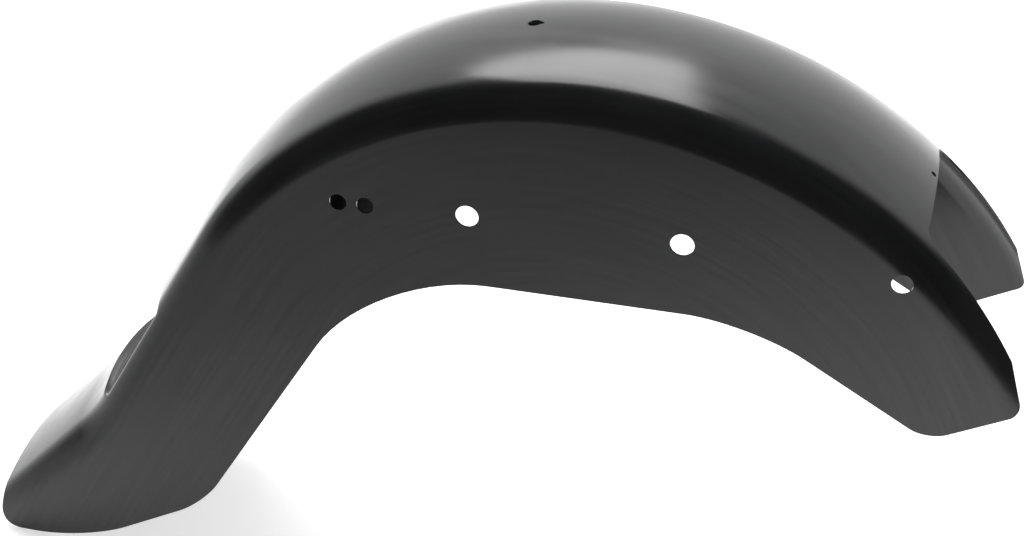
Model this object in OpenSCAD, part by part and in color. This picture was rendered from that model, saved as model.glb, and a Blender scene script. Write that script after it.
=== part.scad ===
// Motorcycle rear fender: one pressed steel shell with flat sides, a crowned top,
// a flared tail, a stepped plate pocket and an open front between the shoulders.
// The side view is drawn round the centre of the rear crown arc, X to the front of the bike
// and Y up, with the width along Z. The finished fender stands with Z up.

/* [Sheet and cross-section] */
// Thickness of the pressed steel sheet
sheet_t = 1.6; // [1.2:0.2:3]
// Width over the two flat sides
fender_w = 222; // [190:2:260]
// Radius of the shoulder bend between a side and the crown
shoulder_r = 36; // [20:1:44]
// Radius of the crown across the fender
crown_r = 312; // [240:1:500]

/* [Crown line seen from the side] */
// Radius of the shoulder line over the rear of the wheel
rear_r = 402; // [380:2:430]
// Radius of the shoulder line over the front of the wheel
front_r = 465; // [440:5:500]
// Angle at which the rear arc meets the front arc, from level
join_a = 84; // [76:1:92]
// Angle at which the rear arc runs out into the straight back, from level
back_a = 149; // [146:0.5:153]
// Length of the straight back
back_l = 256; // [230:2:270]
// Radius of the reverse bend at the tail
flare_r = 250; // [200:10:400]
// Angle of the reverse bend at the tail
flare_a = 14; // [8:1:18]

/* [Lower edge] */
// Height of the level edge over the wheel
edge_z = 225; // [200:5:240]
// Rear end of the level edge line, where the back slope would meet it
edge_rear_x = 190; // [180:2:200]
// Front end of the level edge line, where the front slope would meet it
edge_front_x = 168; // [150:2:180]
// Corner radius at the rear of the level edge
edge_rear_r = 205; // [150:5:230]
// Corner radius at the front of the level edge
edge_front_r = 220; // [150:5:250]
// Reach of the lowest front point of the side
heel_x = 336; // [325:1:345]
// Height of the lowest front point of the side
heel_z = 126; // [110:2:140]
// Corner radius at the lowest front point
heel_r = 35; // [20:1:45]
// Reach of the front corner of the side
nose_x = 414; // [406:1:422]
// Height of the front corner of the side
nose_z = 168; // [160:1:176]
// Corner radius of the front corner
nose_r = 12; // [6:1:16]
// Lean of the front edge back from upright
nose_lean = 18; // [10:1:26]
// Reach of the knee where the back slope meets the tail
knee_x = 391; // [380:1:400]
// Depth of the knee below the arc centre
knee_z = 95; // [85:1:105]
// Corner radius of the knee
knee_r = 45; // [30:1:60]
// Reach where the rising tail edge leaves the level tail edge
skirt_x = 540; // [525:1:550]
// Corner radius between the rising and the level tail edge
skirt_r = 230; // [150:5:240]
// Reach of the cut end of the tail
tail_x = 640; // [632:1:650]
// Depth of the tail below the arc centre
tail_z = 181; // [172:1:190]
// Corner radius of the tail end
tail_r = 24; // [12:1:32]

/* [Front notch] */
// Reach of the front edge of the crown
notch_x = 316; // [300:2:330]
// Width of the shoulder lip beside the root of the notch
notch_lip = 24; // [18:1:30]
// Width of the shoulder lip at the front corner
nose_lip = 8; // [5:1:14]
// Corner radius at the root of the notch
notch_r = 14; // [8:1:20]

/* [Plate pocket] */
// Distance from the pocket down to the end of the straight back
pocket_gap = 4; // [4:1:20]
// Length of the pocket along the back
pocket_l = 150; // [120:1:150]
// Width of the pocket across the fender
pocket_w = 196; // [160:2:200]
// Corner radius of the pocket opening
pocket_r = 15; // [8:1:24]
// Depth from the crown to the ledge on the centre line
ledge_drop = 9; // [6:0.5:12]
// Width of the ledge round the plate floor
ledge_w = 6; // [4:0.5:9]
// Depth from the ledge to the plate floor on the centre line
floor_drop = 5.5; // [3:0.5:8]
// Radius of the ledge across the fender
ledge_r = 495; // [450:5:560]
// Radius of the plate floor across the fender
floor_r = 600; // [520:10:800]

/* [Holes] */
// Height of the row of strut holes
strut_z = 297.5; // [285:0.5:305]
// Distance of the rear strut hole behind the arc centre
strut_rear_x = 95; // [90:1:100]
// Distance between the rear and the middle strut hole
strut_pitch = 198; // [190:1:205]
// Distance between the middle and the front strut hole
strut_front_pitch = 193; // [188:1:198]
// Drop of the front strut hole below the row
strut_front_drop = 10.5; // [6:0.5:14]
// Diameter of the rear and middle strut holes
strut_d = 22; // [14:0.5:26]
// Diameter of the front strut hole
strut_front_d = 19; // [12:0.5:24]
// Distance of the rear hole of the small pair behind the arc centre
pair_x = 219; // [210:1:225]
// Distance between the holes of the small pair
pair_pitch = 26.3; // [22:0.1:32]
// Height of the small pair
pair_z = 294.5; // [285:0.5:305]
// Diameter of the holes of the small pair
pair_d = 16.5; // [8:0.5:18]
// Angle of the seat screw hole on the rear arc, from level
seat_a = 97.7; // [92:0.1:104]
// Diameter of the seat screw hole
seat_d = 13; // [8:0.5:16]
// Width of the locking notch of the seat screw hole
seat_notch_w = 5; // [3:0.5:7]
// Distance from the front edge of the crown to the small hole behind it
tip_hole_gap = 8; // [6:0.5:14]
// Diameter of the small hole behind the front edge
tip_hole_d = 6.5; // [4:0.5:9]

/* [Hidden] */
// Facets of a full turn of the long arcs, of the bends and of the holes
arc_facets = 144;
crown_facets = 180;
bend_facets = 48;
hole_facets = 48;
// What a cutter reaches past the sheet that it cuts
clear = 10;
half_w = fender_w / 2;
// How far the sides reach below the shoulder line before their edge is cut
side_depth = rear_r / 2;
// Centre of the crown arc below the shoulder line, and height of the crown above that line
crown_n = -sqrt(pow(crown_r - shoulder_r, 2) - pow(half_w - shoulder_r, 2));
crown_h = crown_n + crown_r;
// Angle from the centre line of the ray on which the shoulder bend meets the crown
shoulder_a = atan2(half_w - shoulder_r, -crown_n);
// First angle of the front arc, below the nose
front_a = asin(nose_z / front_r) - 6;
// Centre of the front arc, which meets the rear arc without a corner
front_x = (rear_r - front_r) * cos(join_a);
front_y = (rear_r - front_r) * sin(join_a);
// Length of the straight tail, which the side outline cuts short
tail_l = 200;
// How far a stretch of the sweep laps into its neighbour, and how much smaller it is there.
// A much thinner step leaves a ring too narrow to be meshed.
lap = 1;
hair = 0.3;
// Point where the nose edge passes well above the crown
top_y = rear_r + crown_h + 4 * clear;
nose_top_x = nose_x - (top_y - nose_z) * tan(nose_lean);
// Levels of the ledge and of the plate floor above the shoulder line, on the centre line
ledge_n = crown_h - ledge_drop;
floor_n = ledge_n - floor_drop;
// Distance from the start of the straight back down to the pocket
pocket_start = back_l - pocket_gap - pocket_l;
// Middle of the fender's length, which is its origin
mid_x = (nose_x - tail_x) / 2;

// Corner i of a list of [x, y, radius] as the points of an arc, or as one sharp point
function corner(c, i) =
    let (
        n = len(c),
        a = c[(i + n - 1) % n],
        p = c[i],
        b = c[(i + 1) % n],
        in_a = atan2(p[1] - a[1], p[0] - a[0]),
        out_a = atan2(b[1] - p[1], b[0] - p[0]),
        raw = out_a - in_a,
        turn = raw > 180 ? raw - 360 : raw < -180 ? raw + 360 : raw,
        side = turn > 0 ? 1 : -1,
        t = p[2] * tan(abs(turn) / 2),
        cx = p[0] - t * cos(in_a) - side * p[2] * sin(in_a),
        cy = p[1] - t * sin(in_a) + side * p[2] * cos(in_a),
        steps = ceil(abs(turn) / 5)
    )
    p[2] == 0
        ? [[p[0], p[1]]]
        : [for (k = [0:steps])
            let (q = in_a - side * 90 + turn * k / steps)
            [cx + p[2] * cos(q), cy + p[2] * sin(q)]];

// All the points of an outline whose corners are given as [x, y, radius]
function rounded(c) = [for (i = [0:len(c) - 1]) each corner(c, i)];

// Cross-section of the solid under the sheet, X outward from the shoulder line, Y across.
// The inset makes it smaller all round, and the depth is that of its flat sides.
module section(inset, depth) {
    translate([-depth, inset - half_w])
        square([depth, fender_w - 2 * inset]);
    translate([0, shoulder_r - half_w])
        square([shoulder_r / 2, fender_w - 2 * shoulder_r]);
    for (side = [-1, 1])
        translate([0, side * (half_w - shoulder_r)])
            circle(shoulder_r - inset, $fn = bend_facets);
    intersection() {
        translate([crown_n, 0])
            circle(crown_r - inset, $fn = crown_facets);
        crown_wedge();
    }
}

// The rays from the crown's centre through the centres of the shoulder bends, and beyond
module crown_wedge() {
    reach = 2 * crown_h - crown_n;
    root = half_w - shoulder_r;
    top = reach * tan(shoulder_a);
    polygon([[0, -root], [0, root], [crown_n + reach, top], [crown_n + reach, -top]]);
}

// A stretch of the section that runs straight on from the plane Y = 0, and laps back over it
module straight_run(length, inset, depth) {
    translate([0, length, 0])
        rotate([90, 0, 0])
            linear_extrude(length + lap)
                section(inset, depth);
}

// A stretch of the section that runs round an arc, from one angle to another
module arc_run(radius, from_a, to_a, inset, depth) {
    rotate_extrude(angle = to_a - from_a, start = from_a, $fn = arc_facets)
        translate([radius, 0])
            section(inset, depth);
}

// The angle that the lap takes on an arc
function lap_a(radius) = lap / radius * 180 / PI;

// The section swept along the front arc, the rear arc, the straight back and the flared tail.
// The front arc, the back and the tail are a hair smaller than the rear arc and the flare,
// and lap into them at each end that they share, so that all of them join as one.
module swept(inset, depth) {
    translate([front_x, front_y, 0])
        arc_run(front_r, front_a, join_a + lap_a(front_r), inset + hair, depth);
    arc_run(rear_r, join_a, back_a, inset, depth);
    on_back()
        straight_run(back_l + lap, inset + hair, depth);
    on_back()
        translate([flare_r, back_l, 0]) {
            rotate_extrude(angle = flare_a, start = 180 - flare_a, $fn = arc_facets)
                translate([flare_r, 0])
                    mirror([1, 0])
                        section(inset, depth);
            rotate([0, 0, -flare_a])
                translate([-flare_r, 0, 0])
                    straight_run(tail_l, inset + hair, depth);
        }
}

// Moves things to the start of the straight back, X outward, Y down the back, Z across
module on_back() {
    rotate([0, 0, back_a])
        translate([rear_r, 0, 0])
            children();
}

// Side view of what is left of the sweep once its lower edge and its ends are cut
module side_outline() {
    polygon(rounded([
        [-tail_x, -tail_z, tail_r],
        [-skirt_x, -tail_z, skirt_r],
        [-knee_x, -knee_z, knee_r],
        [-edge_rear_x, edge_z, edge_rear_r],
        [edge_front_x, edge_z, edge_front_r],
        [heel_x, heel_z, heel_r],
        [nose_x, nose_z, nose_r],
        [nose_top_x, top_y, 0],
        [-tail_x, top_y, 0],
    ]));
}

// The sheet: outside less the hollow, which stops short under the plate pocket
module sheet() {
    difference() {
        swept(0, side_depth);
        difference() {
            swept(sheet_t, side_depth + clear);
            pocket_space(sheet_t);
        }
        pocket_space(0);
    }
}

// The side outline right across the fender
module side_block() {
    translate([0, 0, -half_w - clear])
        linear_extrude(fender_w + 2 * clear)
            side_outline();
}

// Plan of the front notch between the shoulder lips, punched straight down
module notch_cutter() {
    root = half_w - notch_lip;
    mouth = half_w - nose_lip;
    past = nose_x + clear;
    translate([0, nose_z, 0])
        rotate([-90, 0, 0])
            linear_extrude(top_y - nose_z)
                polygon(rounded([
                    [notch_x, -root, notch_r],
                    [past, -mouth, 0],
                    [past, mouth, 0],
                    [notch_x, root, notch_r],
                ]));
}

// Outline of the pocket seen square to the back, drawn outside by grow
module pocket_outline(grow) {
    r = pocket_r + grow;
    l = pocket_l + 2 * grow;
    w = pocket_w + 2 * grow;
    translate([0, -pocket_w / 2 - grow]) {
        translate([r - grow, 0])
            square([l - 2 * r, w]);
        translate([-grow, r])
            square([l, w - 2 * r]);
        for (x = [r - grow, l - r - grow], y = [r, w - r])
            translate([x, y])
                circle(r, $fn = bend_facets);
    }
}

// All that lies over a level which is crowned across the fender, within a pocket outline
module over_level(level, radius, grow) {
    intersection() {
        translate([0, pocket_start, 0])
            rotate([0, 90, 0])
                rotate([0, 0, 90])
                    linear_extrude(crown_h + 4 * clear)
                        pocket_outline(grow);
        translate([0, pocket_start + pocket_l + clear, 0])
            rotate([90, 0, 0])
                linear_extrude(pocket_l + 2 * clear)
                    difference() {
                        translate([0, -half_w])
                            square([crown_h + 3 * clear, fender_w]);
                        translate([level - radius, 0])
                            circle(radius, $fn = 2 * crown_facets);
                    }
    }
}

// The sunk space over the ledge and over the plate floor, larger all round by a wall
module pocket_space(wall) {
    on_back() {
        over_level(ledge_n - wall, ledge_r - wall, wall);
        over_level(floor_n - wall, floor_r - wall, wall - ledge_w);
    }
}

// Holes through both flat sides: three for the strut, and a small pair behind them
module side_hole(x, z, d) {
    translate([x, z, -half_w - clear])
        cylinder(h = fender_w + 2 * clear, d = d, $fn = hole_facets);
}

module side_holes() {
    strut_mid_x = strut_pitch - strut_rear_x;
    side_hole(-strut_rear_x, strut_z, strut_d);
    side_hole(strut_mid_x, strut_z, strut_d);
    side_hole(strut_mid_x + strut_front_pitch, strut_z - strut_front_drop, strut_front_d);
    for (x = [-pair_x, pair_x_front()])
        side_hole(x, pair_z, pair_d);
}

function pair_x_front() = pair_pitch - pair_x;

// Seat screw hole with its locking notch to the front, square to the crown
module seat_hole() {
    rotate([0, 0, seat_a])
        translate([rear_r, 0, 0])
            rotate([0, 90, 0]) {
                cylinder(h = crown_h + clear, d = seat_d, $fn = hole_facets);
                translate([0, -seat_d / 2, 0])
                    cylinder(h = crown_h + clear, d = seat_notch_w, $fn = hole_facets);
            }
}

// Small hole on the centre line behind the front edge of the crown
module tip_hole() {
    edge_a = acos((notch_x - front_x) / (front_r + crown_h));
    hole_a = edge_a + atan(tip_hole_gap / (front_r + crown_h));
    translate([front_x, front_y, 0])
        rotate([0, 0, hole_a])
            translate([front_r, 0, 0])
                rotate([0, 90, 0])
                    cylinder(h = crown_h + clear, d = tip_hole_d, $fn = hole_facets);
}

module fender() {
    color("#2b2c2e")
        translate([-mid_x, 0, tail_z])
            rotate([90, 0, 0])
                difference() {
                    intersection() {
                        sheet();
                        side_block();
                    }
                    notch_cutter();
                    side_holes();
                    seat_hole();
                    tip_hole();
                }
}

fender();
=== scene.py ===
"""Looks and studio stage for a one-piece pressed steel motorcycle rear fender."""

import math

import bmesh
import bpy
from mathutils import Matrix, Vector


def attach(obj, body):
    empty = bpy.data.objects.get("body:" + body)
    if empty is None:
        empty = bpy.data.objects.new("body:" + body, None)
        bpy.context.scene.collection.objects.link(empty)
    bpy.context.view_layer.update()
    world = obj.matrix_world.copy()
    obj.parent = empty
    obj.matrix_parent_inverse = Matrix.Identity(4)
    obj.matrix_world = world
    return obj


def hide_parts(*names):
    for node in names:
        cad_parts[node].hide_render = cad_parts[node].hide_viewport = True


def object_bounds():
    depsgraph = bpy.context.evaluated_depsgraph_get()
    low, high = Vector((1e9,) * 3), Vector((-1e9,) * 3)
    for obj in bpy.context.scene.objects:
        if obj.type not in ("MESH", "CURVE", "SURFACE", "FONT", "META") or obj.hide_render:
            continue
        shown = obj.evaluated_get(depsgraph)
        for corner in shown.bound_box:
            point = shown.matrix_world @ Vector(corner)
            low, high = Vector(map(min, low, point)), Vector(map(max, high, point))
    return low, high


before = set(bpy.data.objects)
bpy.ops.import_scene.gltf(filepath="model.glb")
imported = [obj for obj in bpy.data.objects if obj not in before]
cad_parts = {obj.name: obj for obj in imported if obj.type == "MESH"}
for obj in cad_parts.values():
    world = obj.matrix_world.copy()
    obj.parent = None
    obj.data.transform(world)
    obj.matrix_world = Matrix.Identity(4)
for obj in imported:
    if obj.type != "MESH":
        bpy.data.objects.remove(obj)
CAD_LOW, CAD_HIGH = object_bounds()

bl_info = {
    "name": "Motorcycle rear fender",
    "version": (1, 0, 0),
    "blender": (4, 5, 0),
    "location": "View3D > Sidebar > Fender",
    "description": "Finishes a pressed steel rear fender in black primer and sets it in a studio",
    "category": "Object",
}

MM = 0.001
NODE = "fender"

# Centre of the rear arc over the wheel, as x and z. The side view's sizes are measured from it.
ARC_CENTRE = (113 * MM, 181 * MM)
ACROSS = Vector((0, 1, 0))
FORWARD_TURN = (0, -1, 0)

# How many steps each stretch of the section, and of the sweep, is divided into
SIDE_STEPS = 6
SHOULDER_STEPS = 14
CROWN_STEPS = 64
FRONT_STEPS = 46
REAR_STEPS = 44
BACK_STEPS = 12
POCKET_STEPS = 90
GAP_STEPS = 2
FLARE_STEPS = 12
TAIL_STEPS = 10
CORNER_STEPS = 14
EDGE_STEPS = 2
HOLE_SIDES = 64
FLOOR_SIDES = 96

# How far cutting blocks reach past the sheet, and how long the drills for the crown are
BLOCK_REACH = 10 * MM
BLOCK_RISE = 90 * MM
SIDE_DRILL_REACH = 20 * MM
SEAT_DRILL = 30 * MM
TIP_DRILL = 20 * MM
# How much lower than the nose the sweep starts, so that the cut trims it
NOSE_SPARE = math.radians(6)
# Points closer together than this become one
WELD = 0.01 * MM
# Edges sharper than the first are broken, and edges sharper than the second stay sharp in shading
BROKEN_FROM = math.radians(50)
SHARP_FROM = math.radians(40)

# Between them the two noises of the film, added up, lie mostly within this span
TONE_LOW, TONE_HIGH = 0.65, 1.15
# How far the roughness goes down and up over that span
GLOSS_DOWN, GLOSS_UP = 0.03, 0.04
# The span of the noise of the draw lines, and how much wider they are across the fender
LINE_LOW, LINE_HIGH = 0.3, 0.7
LINE_SPREAD = 6
FILM_IOR = 1.5
FILM_SHINE = 0.5

FLOOR_GAP = 0.5 * MM
LAMP_AIM = Vector((0.0, 0.0, 0.45))
SENSOR_MM = 36.0


def linear(hex_colour):
    """A colour written as sRGB hex, as linear red, green, blue and alpha."""
    parts = [int(hex_colour[i : i + 2], 16) / 255 for i in (1, 3, 5)]
    return [c / 12.92 if c <= 0.04045 else ((c + 0.055) / 1.055) ** 2.4 for c in parts] + [1.0]


def add(tree, kind, settings=None, sockets=None):
    """Adds a node. A socket's value is a number, a colour, or the output it is linked from."""
    made = tree.nodes.new(kind)
    for name, value in (settings or {}).items():
        setattr(made, name, value)
    for name, value in (sockets or {}).items():
        if isinstance(value, bpy.types.NodeSocket):
            tree.links.new(value, made.inputs[name])
        else:
            made.inputs[name].default_value = value
    return made


def new_material(name):
    """An empty node material and its tree."""
    material = bpy.data.materials.new(name)
    material.use_nodes = True
    material.node_tree.nodes.clear()
    return material, material.node_tree


def waves_per_metre(size_mm):
    """Noise scale at which one feature is about this many millimetres across."""
    return 1 / (size_mm * MM)


def sweep_coordinates(tree, position, sizes):
    """Position as distance out from the sweep's middle, length along it, and place across."""
    xyz = add(tree, "ShaderNodeSeparateXYZ", sockets={0: position})
    behind = add(
        tree,
        "ShaderNodeMath",
        {"operation": "SUBTRACT"},
        {0: ARC_CENTRE[0], 1: xyz.outputs[0]},
    ).outputs[0]
    above = add(
        tree,
        "ShaderNodeMath",
        {"operation": "SUBTRACT"},
        {0: xyz.outputs[2], 1: ARC_CENTRE[1]},
    ).outputs[0]
    flat = add(tree, "ShaderNodeCombineXYZ", sockets={0: behind, 1: above})
    radius = add(
        tree, "ShaderNodeVectorMath", {"operation": "LENGTH"}, {0: flat.outputs[0]}
    ).outputs["Value"]
    angle = add(
        tree, "ShaderNodeMath", {"operation": "ARCTAN2"}, {0: behind, 1: above}
    ).outputs[0]
    # Past the end of the arc the sweep runs straight on down the back
    bent = add(
        tree,
        "ShaderNodeMath",
        {"operation": "MINIMUM"},
        {0: angle, 1: sizes.back_angle - math.pi / 2},
    ).outputs[0]
    past = add(
        tree, "ShaderNodeMath", {"operation": "SUBTRACT"}, {0: angle, 1: bent}
    ).outputs[0]
    parts = []
    for share in ("COSINE", "SINE"):
        part = add(tree, "ShaderNodeMath", {"operation": share}, {0: past})
        parts.append(
            add(
                tree,
                "ShaderNodeMath",
                {"operation": "MULTIPLY"},
                {0: radius, 1: part.outputs[0]},
            ).outputs[0]
        )
    along = add(
        tree,
        "ShaderNodeMath",
        {"operation": "MULTIPLY_ADD"},
        {0: bent, 1: sizes.rear_r, 2: parts[1]},
    ).outputs[0]
    return add(
        tree, "ShaderNodeCombineXYZ", sockets={0: parts[0], 1: along, 2: xyz.outputs[1]}
    ).outputs[0]


def primed_steel(finish, sizes):
    """Black electrocoat primer on pressed sheet steel: a thin satin film that shows the metal's
    draw lines. The eye sees a near-black wall that turns pale where it looks along the surface."""
    material, tree = new_material("black_electrocoat_primer")
    position = add(tree, "ShaderNodeTexCoord").outputs["Object"]
    along = sweep_coordinates(tree, position, sizes)

    # Draw lines run along the sweep, so they are long that way and fine across it
    stretched = add(
        tree,
        "ShaderNodeVectorMath",
        {"operation": "MULTIPLY"},
        {
            0: along,
            1: (
                waves_per_metre(finish.line_mm),
                waves_per_metre(finish.line_length_mm),
                waves_per_metre(finish.line_mm * LINE_SPREAD),
            ),
        },
    )
    lines = add(
        tree,
        "ShaderNodeTexNoise",
        sockets={"Vector": stretched.outputs[0], "Scale": 1.0, "Detail": 3.0, "Roughness": 0.6},
    ).outputs["Fac"]
    # The film is a little thicker and thinner in broad clouds
    clouds = add(
        tree,
        "ShaderNodeTexNoise",
        sockets={"Vector": position, "Scale": waves_per_metre(finish.cloud_mm), "Detail": 2.0},
    ).outputs["Fac"]
    # The film's own texture, drawn coarser than its real fifth of a millimetre so that it shows
    peel = add(
        tree,
        "ShaderNodeTexNoise",
        sockets={"Vector": position, "Scale": waves_per_metre(finish.peel_mm), "Detail": 2.0},
    ).outputs["Fac"]

    mixed = add(
        tree,
        "ShaderNodeMath",
        {"operation": "MULTIPLY_ADD"},
        {0: lines, 1: finish.line_share, 2: clouds},
    )
    tone = add(
        tree,
        "ShaderNodeMapRange",
        sockets={"Value": mixed.outputs[0], "From Min": TONE_LOW, "From Max": TONE_HIGH},
    )
    colour = add(tree, "ShaderNodeValToRGB", sockets={"Fac": tone.outputs[0]})
    colour.color_ramp.elements[0].color = linear(finish.dark_hex)
    colour.color_ramp.elements[1].color = linear(finish.light_hex)
    gloss = add(
        tree,
        "ShaderNodeMapRange",
        sockets={
            "Value": mixed.outputs[0],
            "From Min": TONE_LOW,
            "From Max": TONE_HIGH,
            "To Min": finish.roughness - GLOSS_DOWN,
            "To Max": finish.roughness + GLOSS_UP,
        },
    )
    peel_bump = add(
        tree,
        "ShaderNodeBump",
        sockets={"Height": peel, "Distance": finish.peel_depth_mm * MM, "Strength": 1.0},
    )
    line_bump = add(
        tree,
        "ShaderNodeBump",
        sockets={
            "Height": lines,
            "Distance": finish.line_depth_mm * MM,
            "Strength": 1.0,
            "Normal": peel_bump.outputs[0],
        },
    )
    shine = add(
        tree,
        "ShaderNodeMapRange",
        sockets={
            "Value": lines,
            "From Min": LINE_LOW,
            "From Max": LINE_HIGH,
            "To Min": FILM_SHINE - finish.line_shine,
            "To Max": FILM_SHINE + finish.line_shine,
        },
    )
    surface = add(
        tree,
        "ShaderNodeBsdfPrincipled",
        sockets={
            "Specular IOR Level": shine.outputs[0],
            "Base Color": colour.outputs[0],
            "Roughness": gloss.outputs[0],
            "IOR": FILM_IOR,
            "Normal": line_bump.outputs[0],
        },
    )
    add(tree, "ShaderNodeOutputMaterial", sockets={"Surface": surface.outputs[0]})
    return material


def studio_floor(stage):
    """Matt white paper: white to the eye, and it still takes the fender's shadow."""
    material, tree = new_material("matt_white_paper")
    path = add(tree, "ShaderNodeLightPath")
    shown = add(
        tree,
        "ShaderNodeMath",
        {"operation": "MAXIMUM"},
        {0: path.outputs["Is Camera Ray"], 1: path.outputs["Is Transmission Ray"]},
    )
    shown_glow = add(
        tree,
        "ShaderNodeMath",
        {"operation": "MULTIPLY"},
        {0: shown.outputs[0], 1: stage.paper_glow},
    )
    # In reflections the paper is brightest behind the fender and fades out in front of it
    place = add(
        tree,
        "ShaderNodeSeparateXYZ",
        sockets={0: add(tree, "ShaderNodeTexCoord").outputs["Object"]},
    )
    tilted = add(
        tree,
        "ShaderNodeMath",
        {"operation": "MULTIPLY_ADD"},
        {0: place.outputs[0], 1: stage.fade_tilt, 2: place.outputs[1]},
    )
    fade = add(
        tree,
        "ShaderNodeMapRange",
        sockets={
            "Value": tilted.outputs[0],
            "From Min": stage.fade_end,
            "From Max": stage.fade_start,
            "To Min": 0.0,
            "To Max": stage.mirror_glow,
        },
    )
    mirrored = add(
        tree,
        "ShaderNodeMath",
        {"operation": "MULTIPLY"},
        {0: path.outputs["Is Glossy Ray"], 1: fade.outputs[0]},
    )
    glow = add(
        tree,
        "ShaderNodeMath",
        {"operation": "MAXIMUM"},
        {0: shown_glow.outputs[0], 1: mirrored.outputs[0]},
    )
    paper = add(
        tree,
        "ShaderNodeBsdfPrincipled",
        sockets={
            "Base Color": linear(stage.paper_hex),
            "Roughness": 1.0,
            "Emission Color": (1, 1, 1, 1),
            "Emission Strength": glow.outputs[0],
        },
    )
    add(tree, "ShaderNodeOutputMaterial", sockets={"Surface": paper.outputs[0]})
    return material


def studio_world(stage):
    """White to the camera and in reflections behind the fender, dim in front and overhead."""
    world = bpy.data.worlds.new("studio")
    world.use_nodes = True
    tree = world.node_tree
    tree.nodes.clear()
    path = add(tree, "ShaderNodeLightPath")
    seen = add(
        tree,
        "ShaderNodeMath",
        {"operation": "MAXIMUM"},
        {0: path.outputs["Is Camera Ray"], 1: path.outputs["Is Transmission Ray"]},
    )
    way = add(
        tree,
        "ShaderNodeSeparateXYZ",
        sockets={0: add(tree, "ShaderNodeTexCoord").outputs["Generated"]},
    )
    sky = add(
        tree,
        "ShaderNodeMapRange",
        {"interpolation_type": "SMOOTHSTEP"},
        {
            "Value": way.outputs[2],
            "From Min": stage.horizon_top,
            "From Max": stage.ceiling_start,
            "To Min": stage.backdrop_level,
            "To Max": stage.dim_level,
        },
    )
    behind = add(
        tree,
        "ShaderNodeMapRange",
        {"interpolation_type": "SMOOTHSTEP"},
        {
            "Value": way.outputs[1],
            "From Min": stage.behind_start,
            "From Max": stage.behind_full,
            "To Min": stage.dim_level,
            "To Max": stage.backdrop_level,
        },
    )
    around = add(
        tree, "ShaderNodeMath", {"operation": "MINIMUM"}, {0: sky.outputs[0], 1: behind.outputs[0]}
    )
    level = add(
        tree,
        "ShaderNodeMath",
        {"operation": "MAXIMUM"},
        {0: seen.outputs[0], 1: around.outputs[0]},
    )
    background = add(
        tree,
        "ShaderNodeBackground",
        sockets={"Color": (1, 1, 1, 1), "Strength": level.outputs[0]},
    )
    add(tree, "ShaderNodeOutputWorld", sockets={"Surface": background.outputs[0]})
    return world


def outward(angle):
    """The unit vector of the side view at this angle, from level, and outward from the arc."""
    return Vector((math.cos(angle), 0, math.sin(angle)))


def down_the_sweep(angle):
    """The unit vector of the side view along the sweep, towards the tail, at this angle."""
    return Vector((-math.sin(angle), 0, math.cos(angle)))


def side_point(x, z):
    """A point of the side view, measured from the rear arc's centre, on the centre plane."""
    return Vector((ARC_CENTRE[0] + x, 0, ARC_CENTRE[1] + z))


def sweep(bm, geometry, centre, angle, steps, axis=FORWARD_TURN, slide=(0, 0, 0)):
    """Carries geometry on, turned round a centre or slid along, and returns its far end."""
    return bmesh.ops.spin(
        bm, geom=geometry, cent=centre, axis=axis, dvec=slide, angle=angle, steps=steps
    )["geom_last"]


def slide_on(bm, geometry, way, steps):
    """Carries geometry straight on along a vector."""
    return sweep(bm, geometry, (0, 0, 0), 0.0, steps, slide=way / steps)


def crown_depth(sizes):
    """Depth of the crown's centre below the shoulder line."""
    half = sizes.width / 2 - sizes.shoulder_r
    return math.sqrt((sizes.crown_r - sizes.shoulder_r) ** 2 - half**2)


def crown_height(sizes):
    """Height of the crown over the shoulder line, on the centre plane."""
    return sizes.crown_r - crown_depth(sizes)


def section(bm, sizes, centre, angle):
    """The fender's section at the front end: up one side, over the crown and down the other."""
    out = outward(angle)
    line = centre + out * sizes.front_r
    axis = (-ACROSS).cross(out)
    root = sizes.width / 2 - sizes.shoulder_r
    crown_turn = math.atan2(root, crown_depth(sizes))
    shoulder_turn = math.pi / 2 - crown_turn
    # Deep enough for every cut of the lower edge
    depth = sizes.rear_r / 2
    start = bm.verts.new(line - out * depth - ACROSS * (sizes.width / 2))
    end = slide_on(bm, [start], out * depth, SIDE_STEPS)
    end = sweep(bm, end, line - ACROSS * root, shoulder_turn, SHOULDER_STEPS, axis)
    end = sweep(bm, end, line - out * crown_depth(sizes), 2 * crown_turn, CROWN_STEPS, axis)
    end = sweep(bm, end, line + ACROSS * root, shoulder_turn, SHOULDER_STEPS, axis)
    slide_on(bm, end, -out * depth, SIDE_STEPS)
    return bm.edges[:]


def sunk(value, start, width):
    """Smooth step from 0 at start to 1 a width further on."""
    t = min(max((value - start) / width, 0.0), 1.0)
    return t * t * (3 - 2 * t)


def press_pocket(bm, sizes, top):
    """Presses the plate pocket into the straight back: a sloped wall, a ledge, and the floor."""
    out, along = outward(sizes.back_angle), down_the_sweep(sizes.back_angle)
    start = sizes.back_l - sizes.pocket_gap - sizes.pocket_l
    crown_h = crown_height(sizes)
    half_l, half_w = sizes.pocket_l / 2, sizes.pocket_w / 2
    for vert in bm.verts:
        place = vert.co - top
        n, u, y = place.dot(out), place.dot(along) - start - half_l, vert.co.y
        if n < 0 or abs(u) > half_l or abs(y) > half_w:
            continue
        reach_u = max(abs(u) - half_l + sizes.pocket_r, 0)
        reach_y = max(abs(y) - half_w + sizes.pocket_r, 0)
        corner = math.hypot(reach_u, reach_y)
        inner = min(half_l - abs(u), half_w - abs(y))
        inside = sizes.pocket_r - corner if corner > 0 else inner
        ledge = crown_h - sizes.ledge_drop - y * y / (2 * sizes.ledge_r)
        floor = crown_h - sizes.ledge_drop - sizes.floor_drop - y * y / (2 * sizes.floor_r)
        low = n + (min(n, ledge) - n) * sunk(inside, 0, sizes.wall_lean)
        low += (min(low, floor) - low) * sunk(
            inside, sizes.wall_lean + sizes.ledge_w / 2, sizes.wall_lean
        )
        vert.co += out * (low - n)


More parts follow.
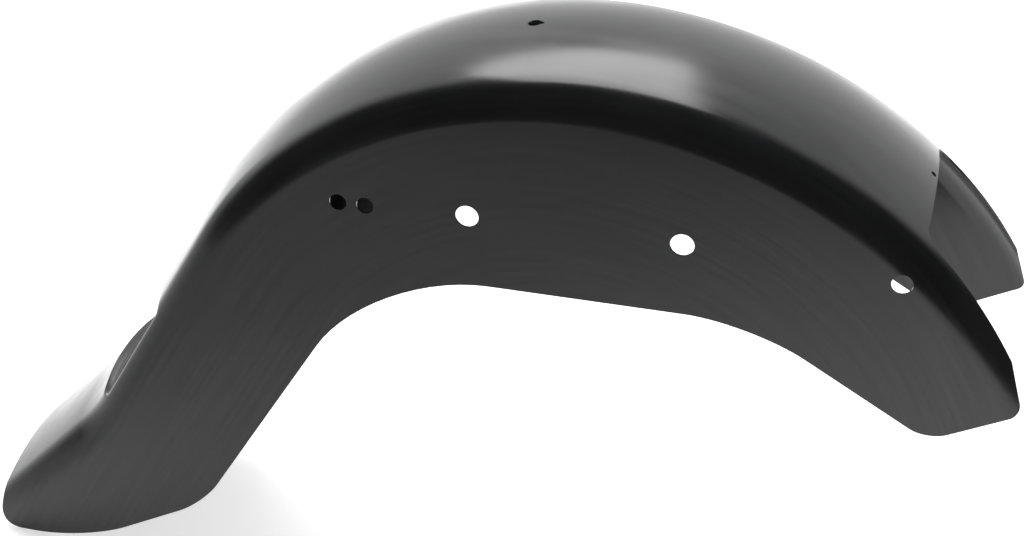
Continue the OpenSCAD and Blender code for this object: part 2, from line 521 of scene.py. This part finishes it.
def skin(sizes):
    """The outer face of the sheet, swept from the nose to the tail, with the pocket pressed in."""
    bm = bmesh.new()
    join, back = sizes.join_angle, sizes.back_angle
    rear_centre = side_point(0, 0)
    front_centre = rear_centre + outward(join) * (sizes.rear_r - sizes.front_r)
    first = math.asin(sizes.nose_z / sizes.front_r) - NOSE_SPARE
    end = section(bm, sizes, front_centre, first)
    end = end + bm.verts[:]
    end = sweep(bm, end, front_centre, join - first, FRONT_STEPS)
    end = sweep(bm, end, rear_centre, back - join, REAR_STEPS)
    top = rear_centre + outward(back) * sizes.rear_r
    along = down_the_sweep(back)
    before = sizes.back_l - sizes.pocket_gap - sizes.pocket_l
    end = slide_on(bm, end, along * before, BACK_STEPS)
    end = slide_on(bm, end, along * sizes.pocket_l, POCKET_STEPS)
    end = slide_on(bm, end, along * sizes.pocket_gap, GAP_STEPS)
    knee = top + along * sizes.back_l
    flare_centre = knee + outward(back) * sizes.flare_r
    end = sweep(bm, end, flare_centre, -sizes.flare_angle, FLARE_STEPS)
    tail_way = down_the_sweep(back - sizes.flare_angle)
    slide_on(bm, end, tail_way * sizes.tail_l, TAIL_STEPS)
    bmesh.ops.remove_doubles(bm, verts=bm.verts, dist=WELD)
    press_pocket(bm, sizes, top)
    bmesh.ops.recalc_face_normals(bm, faces=bm.faces)
    crown = max(bm.faces, key=lambda face: face.calc_center_median().z)
    if crown.normal.z < 0:
        bmesh.ops.reverse_faces(bm, faces=bm.faces)
    return bm


def rounded_plate(corners, thickness):
    """A plate whose outline has the given corners, each rounded to its own radius."""
    bm = bmesh.new()
    verts = [bm.verts.new(place) for place, _ in corners]
    bm.faces.new(verts)
    for vert, (_, radius) in zip(verts, corners):
        if radius == 0:
            continue
        a, b = (edge.other_vert(vert).co - vert.co for edge in vert.link_edges)
        cut = radius / math.tan(a.angle(b) / 2)
        bmesh.ops.bevel(
            bm,
            geom=[vert],
            offset=cut,
            offset_type="OFFSET",
            segments=CORNER_STEPS,
            profile=0.5,
            affect="VERTICES",
            material=-1,
        )
    made = bmesh.ops.extrude_face_region(bm, geom=bm.faces[:])["geom"]
    moved = [item for item in made if isinstance(item, bmesh.types.BMVert)]
    bmesh.ops.translate(bm, verts=moved, vec=thickness)
    bmesh.ops.recalc_face_normals(bm, faces=bm.faces)
    return bm


def side_block(sizes):
    """What the side view keeps of the sweep, as a block right across the fender."""
    reach = sizes.width / 2 + BLOCK_REACH
    top = sizes.rear_r + BLOCK_RISE
    nose_top = sizes.nose_x - (top - sizes.nose_z) * math.tan(sizes.nose_lean)
    view = (
        (-sizes.tail_x, -sizes.tail_z, sizes.tail_r),
        (-sizes.skirt_x, -sizes.tail_z, sizes.skirt_r),
        (-sizes.knee_x, -sizes.knee_z, sizes.knee_r),
        (-sizes.edge_rear_x, sizes.edge_z, sizes.edge_rear_r),
        (sizes.edge_front_x, sizes.edge_z, sizes.edge_front_r),
        (sizes.heel_x, sizes.heel_z, sizes.heel_r),
        (sizes.nose_x, sizes.nose_z, sizes.nose_r),
        (nose_top, top, 0),
        (-sizes.tail_x, top, 0),
    )
    corners = [(side_point(x, z) - ACROSS * reach, radius) for x, z, radius in view]
    return rounded_plate(corners, ACROSS * 2 * reach)


def notch_block(sizes):
    """What the front notch takes out between the shoulder lips, straight down."""
    root_x = sizes.notch_x - sizes.notch_bow
    root = sizes.width / 2 - sizes.notch_lip
    mouth = sizes.width / 2 - sizes.nose_lip
    past = sizes.nose_x + BLOCK_REACH
    plan = (
        (root_x, -root, sizes.notch_r),
        (past, -mouth, 0),
        (past, mouth, 0),
        (root_x, root, sizes.notch_r),
        (sizes.notch_x, 0, sizes.notch_bow_r),
    )
    corners = [(side_point(x, sizes.nose_z) + ACROSS * y, radius) for x, y, radius in plan]
    return rounded_plate(corners, Vector((0, 0, sizes.rear_r)))


def drill(bm, centre, way, diameter, length):
    """A round cutter through centre, along a direction."""
    turn = Vector(way).to_track_quat("Z", "Y").to_matrix().to_4x4()
    bmesh.ops.create_cone(
        bm,
        cap_ends=True,
        segments=HOLE_SIDES,
        radius1=diameter / 2,
        radius2=diameter / 2,
        depth=length,
        matrix=Matrix.Translation(centre) @ turn,
    )


def hole_cutters(sizes):
    """The round holes of both sides and of the crown."""
    bm = bmesh.new()
    across = sizes.width + 2 * SIDE_DRILL_REACH
    middle = sizes.strut_pitch - sizes.strut_rear_x
    holes = (
        (-sizes.strut_rear_x, sizes.strut_z, sizes.strut_d),
        (middle, sizes.strut_z, sizes.strut_d),
        (
            middle + sizes.strut_front_pitch,
            sizes.strut_z - sizes.strut_front_drop,
            sizes.strut_front_d,
        ),
        (-sizes.pair_x, sizes.pair_z, sizes.pair_d),
        (sizes.pair_pitch - sizes.pair_x, sizes.pair_z, sizes.pair_d),
    )
    for x, z, diameter in holes:
        drill(bm, side_point(x, z), ACROSS, diameter, across)
    crown_h = crown_height(sizes)
    seat = outward(sizes.seat_angle)
    place = side_point(0, 0) + seat * (sizes.rear_r + crown_h)
    drill(bm, place, seat, sizes.seat_d, SEAT_DRILL)
    centre = outward(sizes.join_angle) * (sizes.rear_r - sizes.front_r)
    reach = sizes.front_r + crown_h
    tip = math.acos((sizes.notch_x - centre.x) / reach) + math.atan(sizes.tip_hole_gap / reach)
    place = side_point(centre.x, centre.z) + outward(tip) * reach
    drill(bm, place, outward(tip), sizes.tip_hole_d, TIP_DRILL)
    return bm


def seat_notch_cutter(sizes):
    """The locking notch on the front of the seat screw hole."""
    bm = bmesh.new()
    crown_h = crown_height(sizes)
    seat = outward(sizes.seat_angle)
    place = side_point(0, 0) + seat * (sizes.rear_r + crown_h)
    place -= down_the_sweep(sizes.seat_angle) * (sizes.seat_d / 2)
    drill(bm, place, seat, sizes.seat_notch_w, SEAT_DRILL)
    return bm


def as_object(bm, name):
    """A new object that holds the bmesh."""
    mesh = bpy.data.meshes.new(name)
    bm.to_mesh(mesh)
    bm.free()
    made = bpy.data.objects.new(name, mesh)
    bpy.context.collection.objects.link(made)
    return made


def keep_modifiers(shell):
    """Makes the mesh what its modifiers show, and takes them off."""
    shown = shell.evaluated_get(bpy.context.evaluated_depsgraph_get())
    mesh = bpy.data.meshes.new_from_object(shown)
    shell.modifiers.clear()
    shell.data = mesh


def cut(shell, bm, operation):
    """Cuts the shell by a block and throws the block away."""
    block = as_object(bm, "block")
    modifier = shell.modifiers.new("cut", "BOOLEAN")
    modifier.operation = operation
    modifier.solver = "EXACT"
    modifier.object = block
    keep_modifiers(shell)
    bpy.data.objects.remove(block)
    if not shell.data.polygons:
        raise RuntimeError("a cut left nothing of the shell")


def pressed_shell(sizes):
    """The whole sheet at its real thickness, cut to its outline, drilled, its edges broken."""
    shell = as_object(skin(sizes), "pressed_shell")
    wall = shell.modifiers.new("wall", "SOLIDIFY")
    wall.thickness = sizes.sheet
    wall.offset = -1.0
    wall.use_even_offset = True
    keep_modifiers(shell)
    cut(shell, side_block(sizes), "INTERSECT")
    cut(shell, notch_block(sizes), "DIFFERENCE")
    cut(shell, hole_cutters(sizes), "DIFFERENCE")
    cut(shell, seat_notch_cutter(sizes), "DIFFERENCE")
    edge = shell.modifiers.new("edge", "BEVEL")
    edge.width = sizes.edge_round
    edge.segments = EDGE_STEPS
    edge.limit_method = "ANGLE"
    edge.angle_limit = BROKEN_FROM
    keep_modifiers(shell)
    shell.data.shade_smooth()
    shell.data.set_sharp_from_angle(angle=SHARP_FROM)
    shading = shell.modifiers.new("shading", "WEIGHTED_NORMAL")
    shading.keep_sharp = True
    keep_modifiers(shell)
    return shell


def size(name, description, millimetres):
    """A length that the user can change."""
    return bpy.props.FloatProperty(
        name=name, description=description, default=millimetres * MM, unit="LENGTH", precision=4
    )


def turn(name, description, degrees):
    """An angle that the user can change."""
    return bpy.props.FloatProperty(
        name=name, description=description, default=math.radians(degrees), subtype="ANGLE"
    )


class FenderSizes(bpy.types.PropertyGroup):
    """The sheet's sizes. The side view is measured from the centre of the rear arc."""

    sheet: size("Sheet", "Thickness of the sheet", 1.6)
    edge_round: size("Edge rounding", "How far the sheet's cut edges are broken", 0.35)
    width: size("Width", "Width over the flat sides", 222)
    shoulder_r: size("Shoulder bend", "Radius of the bend between side and crown", 36)
    crown_r: size("Crown radius", "Radius of the crown across the fender", 312)
    rear_r: size("Rear arc", "Radius of the shoulder line over the rear of the wheel", 402)
    front_r: size("Front arc", "Radius of the shoulder line over the front of the wheel", 465)
    join_angle: turn("Join", "Angle at which the rear arc meets the front arc", 84)
    back_angle: turn("Back", "Angle at which the rear arc meets the straight back", 149)
    back_l: size("Back length", "Length of the straight back", 256)
    flare_r: size("Flare radius", "Radius of the reverse bend at the tail", 250)
    flare_angle: turn("Flare", "Angle of the reverse bend at the tail", 14)
    tail_l: size("Tail length", "Length of the straight tail before it is cut", 200)
    edge_z: size("Edge height", "Height of the level edge over the wheel", 225)
    edge_rear_x: size("Edge rear", "Rear end of the level edge line", 190)
    edge_front_x: size("Edge front", "Front end of the level edge line", 168)
    edge_rear_r: size("Edge rear corner", "Radius at the rear of the level edge", 205)
    edge_front_r: size("Edge front corner", "Radius at the front of the level edge", 220)
    heel_x: size("Heel reach", "Reach of the lowest front point", 336)
    heel_z: size("Heel height", "Height of the lowest front point", 126)
    heel_r: size("Heel corner", "Radius of the lowest front corner", 35)
    nose_x: size("Nose reach", "Reach of the front corner", 414)
    nose_z: size("Nose height", "Height of the front corner", 168)
    nose_r: size("Nose corner", "Radius of the front corner", 12)
    nose_lean: turn("Nose lean", "Lean of the front edge back from upright", 18)
    knee_x: size("Knee reach", "Reach of the knee between back slope and tail", 391)
    knee_z: size("Knee depth", "Depth of the knee below the arc centre", 99)
    knee_r: size("Knee corner", "Radius of the knee", 130)
    skirt_x: size("Skirt reach", "Where the rising tail edge leaves the level one", 540)
    skirt_r: size("Skirt corner", "Radius between the rising and the level tail edge", 230)
    tail_x: size("Tail reach", "Reach of the cut end of the tail", 640)
    tail_z: size("Tail depth", "Depth of the tail below the arc centre", 181)
    tail_r: size("Tail corner", "Radius of the tail end", 24)
    notch_x: size("Notch reach", "Reach of the front edge of the crown", 316)
    notch_lip: size("Lip at the root", "Width of the lip beside the root of the notch", 24)
    nose_lip: size("Lip at the nose", "Width of the lip at the front corner", 8)
    notch_r: size("Notch corner", "Radius at the root of the notch", 14)
    notch_bow: size("Front edge bow", "How far the crown's front edge bows forward", 5)
    notch_bow_r: size("Front edge bow radius", "Radius of that bow on the centre line", 1000)
    pocket_gap: size("Pocket gap", "From the pocket to the end of the straight back", 4)
    pocket_l: size("Pocket length", "Length of the pocket along the back", 150)
    pocket_w: size("Pocket width", "Width of the pocket across the fender", 196)
    pocket_r: size("Pocket corner", "Corner radius of the pocket", 15)
    ledge_drop: size("Ledge depth", "From the crown to the ledge on the centre line", 9)
    ledge_w: size("Ledge width", "Width of the ledge round the plate floor", 6)
    ledge_r: size("Ledge radius", "Radius of the ledge across the fender", 495)
    floor_drop: size("Floor depth", "From the ledge to the plate floor", 5.5)
    floor_r: size("Floor radius", "Radius of the plate floor across the fender", 600)
    wall_lean: size("Wall lean", "How far the pocket's walls lean in", 4)
    strut_z: size("Strut row", "Height of the row of strut holes", 297.5)
    strut_rear_x: size("Rear strut hole", "Distance behind the arc centre", 95)
    strut_pitch: size("Strut pitch", "From the rear to the middle strut hole", 198)
    strut_front_pitch: size("Front pitch", "From the middle to the front strut hole", 193)
    strut_front_drop: size("Front drop", "Drop of the front strut hole", 10.5)
    strut_d: size("Strut hole", "Diameter of the rear and middle strut holes", 22)
    strut_front_d: size("Front strut hole", "Diameter of the front strut hole", 19)
    pair_x: size("Pair reach", "Distance of the pair's rear hole behind the arc centre", 219)
    pair_pitch: size("Pair pitch", "Distance between the holes of the small pair", 26.3)
    pair_z: size("Pair height", "Height of the small pair", 294.5)
    pair_d: size("Pair hole", "Diameter of the holes of the small pair", 16.5)
    seat_angle: turn("Seat hole place", "Angle of the seat screw hole on the rear arc", 97.7)
    seat_d: size("Seat hole", "Diameter of the seat screw hole", 13)
    seat_notch_w: size("Seat hole notch", "Width of its locking notch", 5)
    tip_hole_gap: size("Tip hole gap", "From the crown's front edge to the small hole", 8)
    tip_hole_d: size("Tip hole", "Diameter of the small hole", 6.5)


class FenderFinish(bpy.types.PropertyGroup):
    """The primer on the fender."""

    dark_hex: bpy.props.StringProperty(
        name="Dark tone", description="Primer where the film is thick", default="#0f1011"
    )
    light_hex: bpy.props.StringProperty(
        name="Light tone", description="Primer where the film is thin", default="#1d1e20"
    )
    roughness: bpy.props.FloatProperty(
        name="Roughness",
        description="How satin the primer is",
        default=0.21,
        min=0.1,
        max=0.9,
        subtype="FACTOR",
    )
    line_share: bpy.props.FloatProperty(
        name="Draw line share", description="How much the draw lines change the tone", default=0.8
    )
    line_shine: bpy.props.FloatProperty(
        name="Draw line shine", description="How much they change the film's shine", default=0.04
    )
    line_mm: bpy.props.FloatProperty(
        name="Draw line spacing", description="Distance between draw lines, in mm", default=4.5
    )
    line_length_mm: bpy.props.FloatProperty(
        name="Draw line length", description="Length of a draw line, in mm", default=160.0
    )
    line_depth_mm: bpy.props.FloatProperty(
        name="Draw line depth", description="Depth of the draw lines, in mm", default=0.01
    )
    cloud_mm: bpy.props.FloatProperty(
        name="Cloud size", description="Width of the broad changes of tone, in mm", default=70.0
    )
    peel_mm: bpy.props.FloatProperty(
        name="Film texture", description="Width of the film's own texture, in mm", default=1.2
    )
    peel_depth_mm: bpy.props.FloatProperty(
        name="Film texture depth", description="Depth of that texture, in mm", default=0.006
    )


class StudioStage(bpy.types.PropertyGroup):
    """The floor, the lamps and the camera."""

    paper_hex: bpy.props.StringProperty(
        name="Paper", description="Colour of the paper floor", default="#f4f4f4"
    )
    paper_glow: bpy.props.FloatProperty(
        name="Paper glow", description="What lifts the paper to white for the camera", default=0.62
    )
    floor_radius: bpy.props.FloatProperty(
        name="Floor radius", description="Radius of the floor", default=12.0, unit="LENGTH"
    )
    floor_front: bpy.props.FloatProperty(
        name="Floor front",
        description="How far the floor reaches in front",
        default=1.3,
        unit="LENGTH",
    )
    mirror_glow: bpy.props.FloatProperty(
        name="Mirrored glow", description="The paper's glow in reflections", default=1.35
    )
    fade_start: bpy.props.FloatProperty(
        name="Fade start", description="Where that glow starts to fade", default=0.0, unit="LENGTH"
    )
    fade_end: bpy.props.FloatProperty(
        name="Fade end", description="Where it has faded out", default=-0.95, unit="LENGTH"
    )
    fade_tilt: bpy.props.FloatProperty(
        name="Fade tilt", description="How much further it reaches to the right", default=0.8
    )
    horizon_top: bpy.props.FloatProperty(
        name="Horizon top",
        description="Height on the unit sphere up to which it is white",
        default=0.70,
    )
    ceiling_start: bpy.props.FloatProperty(
        name="Ceiling start", description="Height on the unit sphere where it is dim", default=0.98
    )
    behind_start: bpy.props.FloatProperty(
        name="Behind start",
        description="Place across on the unit sphere where it starts to be white",
        default=0.0,
    )
    behind_full: bpy.props.FloatProperty(
        name="Behind full",
        description="Place across on the unit sphere where it is white",
        default=0.45,
    )
    backdrop_level: bpy.props.FloatProperty(
        name="Backdrop level", description="How bright it is behind the fender", default=1.3
    )
    dim_level: bpy.props.FloatProperty(
        name="Dim level", description="How bright it is in front and overhead", default=0.12
    )
    back_lamp_watts: bpy.props.FloatProperty(
        name="Back lamp", description="Power of the soft lamp above and behind", default=105.0
    )
    back_lamp_place: bpy.props.FloatVectorProperty(
        name="Back lamp place",
        description="Where the middle of that lamp is",
        default=(-0.4, 1.45, 3.43),
        subtype="TRANSLATION",
    )
    back_lamp_w: bpy.props.FloatProperty(
        name="Back lamp width", description="Its width", default=2.4, unit="LENGTH"
    )
    back_lamp_h: bpy.props.FloatProperty(
        name="Back lamp height", description="Its height", default=2.3, unit="LENGTH"
    )
    camera_place: bpy.props.FloatVectorProperty(
        name="Camera place",
        description="Where the camera stands",
        default=(0.4114, -1.4525, 1.2964),
        subtype="TRANSLATION",
    )
    camera_aim: bpy.props.FloatVectorProperty(
        name="Camera aim",
        description="The point that the camera looks at",
        default=(0.0604, -0.1110, 0.4301),
        subtype="TRANSLATION",
    )
    camera_lens_mm: bpy.props.FloatProperty(
        name="Lens", description="Focal length for a sensor 36 mm wide, in mm", default=62.65
    )


class FENDER_OT_shell(bpy.types.Operator):
    """Makes the pressed shell and gives it its primer."""

    bl_idname = "fender.shell"
    bl_label = "Pressed shell"

    def execute(self, context):
        scene = context.scene
        shell = pressed_shell(scene.fender_sizes)
        shell.data.materials.clear()
        shell.data.materials.append(primed_steel(scene.fender_finish, scene.fender_sizes))
        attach(shell, "root")
        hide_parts(NODE)
        return {"FINISHED"}


class FENDER_OT_stage(bpy.types.Operator):
    """Sets up the floor, the lamps, the world and the camera."""

    bl_idname = "fender.stage"
    bl_label = "Studio stage"

    def execute(self, context):
        stage = context.scene.fender_stage
        scene = context.scene
        scene.world = studio_world(stage)
        scene.view_settings.view_transform = "Standard"
        self.floor(stage)
        self.back_lamp(context, stage)
        self.camera(context, stage)
        return {"FINISHED"}

    def floor(self, stage):
        """A round paper floor that reaches far behind the fender and a little way in front."""
        bm = bmesh.new()
        middle = (0, stage.floor_radius - stage.floor_front, CAD_LOW.z - FLOOR_GAP)
        bmesh.ops.create_circle(
            bm,
            cap_ends=True,
            segments=FLOOR_SIDES,
            radius=stage.floor_radius,
            matrix=Matrix.Translation(middle),
        )
        floor = as_object(bm, "paper_floor")
        floor.data.materials.append(studio_floor(stage))

    def back_lamp(self, context, stage):
        """A wide soft lamp above and behind the fender, whose reflection lights the crown."""
        lamp = bpy.data.lights.new("back_lamp", "AREA")
        lamp.shape = "RECTANGLE"
        lamp.size = stage.back_lamp_w
        lamp.size_y = stage.back_lamp_h
        lamp.energy = stage.back_lamp_watts
        holder = bpy.data.objects.new("back_lamp", lamp)
        holder.location = stage.back_lamp_place
        aim = LAMP_AIM - holder.location
        holder.rotation_euler = aim.to_track_quat("-Z", "Y").to_euler()
        context.collection.objects.link(holder)

    def camera(self, context, stage):
        """The camera, where the photograph was taken from."""
        data = bpy.data.cameras.new("camera")
        data.sensor_width = SENSOR_MM
        data.lens = stage.camera_lens_mm
        camera = bpy.data.objects.new("camera", data)
        camera.location = stage.camera_place
        aim = Vector(stage.camera_aim) - Vector(stage.camera_place)
        camera.rotation_euler = aim.to_track_quat("-Z", "Y").to_euler()
        context.collection.objects.link(camera)
        context.scene.camera = camera


class FENDER_PT_panel(bpy.types.Panel):
    """Shows the fender's sizes, its finish and the stage, with the buttons that make the shell and
    the stage.
    """

    bl_idname = "FENDER_PT_panel"
    bl_label = "Rear fender"
    bl_space_type = "VIEW_3D"
    bl_region_type = "UI"
    bl_category = "Fender"

    def draw(self, context):
        scene = context.scene
        for group in (scene.fender_sizes, scene.fender_finish, scene.fender_stage):
            box = self.layout.box()
            for name in group.__annotations__:
                box.prop(group, name)
        for operator in (FENDER_OT_shell, FENDER_OT_stage):
            self.layout.operator(operator.bl_idname)


CLASSES = (
    FenderSizes,
    FenderFinish,
    StudioStage,
    FENDER_OT_shell,
    FENDER_OT_stage,
    FENDER_PT_panel,
)


def register():
    for made in CLASSES:
        bpy.utils.register_class(made)
    bpy.types.Scene.fender_sizes = bpy.props.PointerProperty(type=FenderSizes)
    bpy.types.Scene.fender_finish = bpy.props.PointerProperty(type=FenderFinish)
    bpy.types.Scene.fender_stage = bpy.props.PointerProperty(type=StudioStage)


def unregister():
    del bpy.types.Scene.fender_stage
    del bpy.types.Scene.fender_finish
    del bpy.types.Scene.fender_sizes
    for made in reversed(CLASSES):
        bpy.utils.unregister_class(made)


def main():
    register()
    bpy.ops.fender.shell()
    bpy.ops.fender.stage()


if __name__ == "__main__":
    main()
